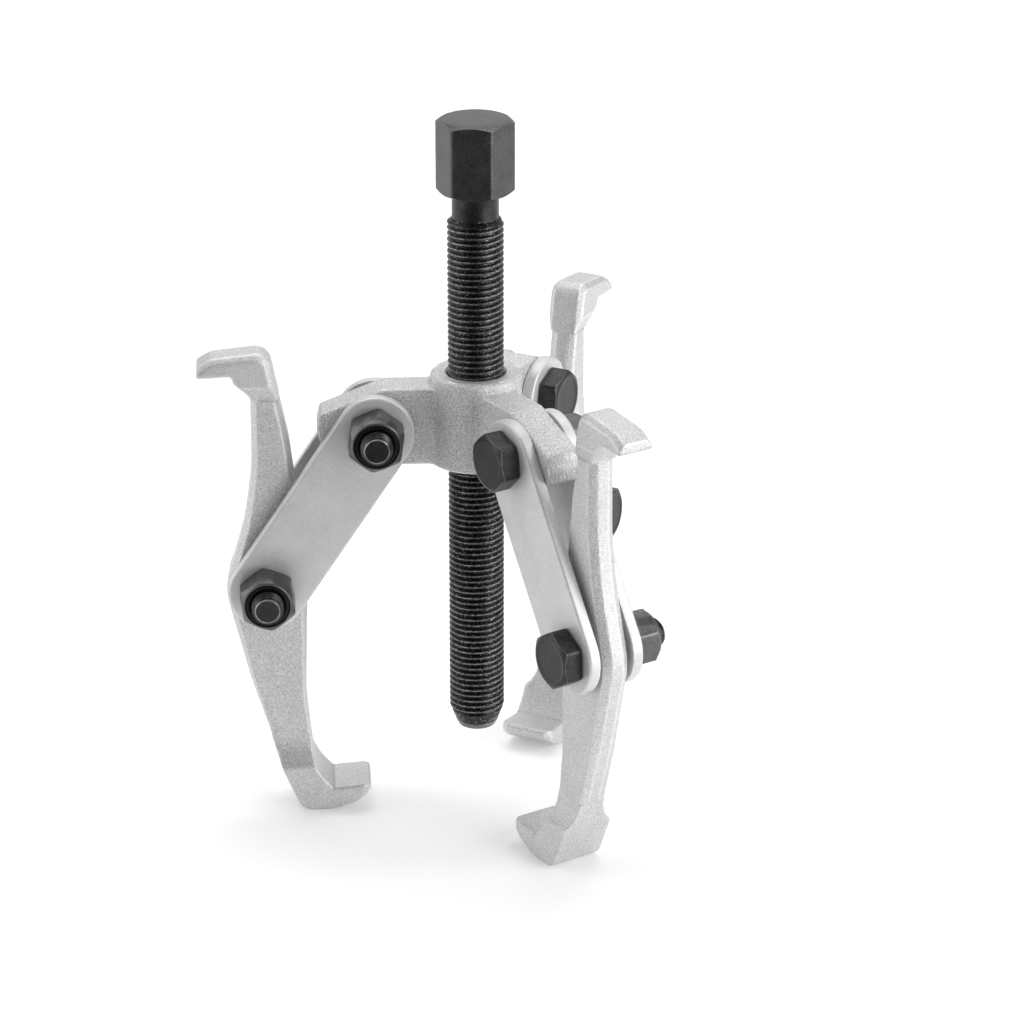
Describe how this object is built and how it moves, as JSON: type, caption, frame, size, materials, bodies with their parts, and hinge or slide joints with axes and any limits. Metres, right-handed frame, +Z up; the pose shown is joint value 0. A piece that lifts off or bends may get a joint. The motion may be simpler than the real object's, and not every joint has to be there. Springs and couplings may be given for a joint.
{
  "type": "gear puller",
  "caption": "Reversible jaw puller: a threaded centre screw through a yoke, with pivoting double-hooked jaws on bolted strap links.",
  "frame": {"origin": "on the centre screw's axis, in the plane of the hub's underside", "axes": "+Z up along the screw towards its drive hexagon; -X along the arm of leg a; legs b and c stand at 300 and 60 degrees from +X, counter-clockwise from above"},
  "size_m": [0.113, 0.1238, 0.1807],
  "materials": {
    "cast_steel_silver": "satin silver over a fine blasted surface",
    "link_steel": "smooth satin grey",
    "black_oxide": "black oxide, slightly oily",
    "hardened_tip": "turned, lightly oiled",
    "bolt_steel": "dark phosphate",
    "nut_steel": "black phosphate",
    "nylon": "black nylon"
  },
  "bodies": {
    "yoke": {"yoke": "cast_steel_silver"},
    "feed": {"thrust_tip": "hardened_tip"},
    "screw": {"centre_screw": "black_oxide"},
    "link_pair_a": {"link_a_nut_side": "link_steel", "link_a_head_side": "link_steel", "yoke_bolt_a": "bolt_steel", "yoke_nut_a": "nut_steel", "yoke_nut_ring_a": "nylon", "jaw_bolt_a": "bolt_steel", "jaw_nut_a": "nut_steel", "jaw_nut_ring_a": "nylon"},
    "jaw_a": {"jaw_a": "cast_steel_silver"},
    "link_pair_b": {"link_b_nut_side": "link_steel", "link_b_head_side": "link_steel", "yoke_bolt_b": "bolt_steel", "yoke_nut_b": "nut_steel", "yoke_nut_ring_b": "nylon", "jaw_bolt_b": "bolt_steel", "jaw_nut_b": "nut_steel", "jaw_nut_ring_b": "nylon"},
    "jaw_b": {"jaw_b": "cast_steel_silver"},
    "link_pair_c": {"link_c_nut_side": "link_steel", "link_c_head_side": "link_steel", "yoke_bolt_c": "bolt_steel", "yoke_nut_c": "nut_steel", "yoke_nut_ring_c": "nylon", "jaw_bolt_c": "bolt_steel", "jaw_nut_c": "nut_steel", "jaw_nut_ring_c": "nylon"},
    "jaw_c": {"jaw_c": "cast_steel_silver"}
  },
  "joints": [
    {"name": "screw_feed", "type": "slide", "parent": "yoke", "child": "feed", "axis": [0, 0, 1], "range_m": [-0.045, 0.066]},
    {"name": "screw_turn", "type": "hinge", "parent": "feed", "child": "screw", "pos_m": [0, 0, 0], "axis": [0, 0, 1], "range_deg": [-10801, 15841]},
    {"name": "link_a_swing", "type": "hinge", "parent": "yoke", "child": "link_pair_a", "pos_m": [-0.025, 0, 0.0095], "axis": [0, 1, 0], "range_deg": [-11, 42]},
    {"name": "jaw_a_swing", "type": "hinge", "parent": "link_pair_a", "child": "jaw_a", "pos_m": [-0.05252, 0, -0.03224], "axis": [0, -1, 0], "range_deg": [-8, 24]},
    {"name": "link_b_swing", "type": "hinge", "parent": "yoke", "child": "link_pair_b", "pos_m": [0.0125, -0.02165, 0.0095], "axis": [-0.866, -0.5, 0], "range_deg": [-11, 42]},
    {"name": "jaw_b_swing", "type": "hinge", "parent": "link_pair_b", "child": "jaw_b", "pos_m": [0.02626, -0.04549, -0.03224], "axis": [0.866, 0.5, 0], "range_deg": [-8, 24]},
    {"name": "link_c_swing", "type": "hinge", "parent": "yoke", "child": "link_pair_c", "pos_m": [0.0125, 0.02165, 0.0095], "axis": [0.866, -0.5, 0], "range_deg": [-11, 42]},
    {"name": "jaw_c_swing", "type": "hinge", "parent": "link_pair_c", "child": "jaw_c", "pos_m": [0.02626, 0.04549, -0.03224], "axis": [-0.866, 0.5, 0], "range_deg": [-8, 24]}
  ],
  "couplings": [
    {"joint": "screw_turn", "follows": "screw_feed", "rad_per_m": 4188.8}
  ]
}
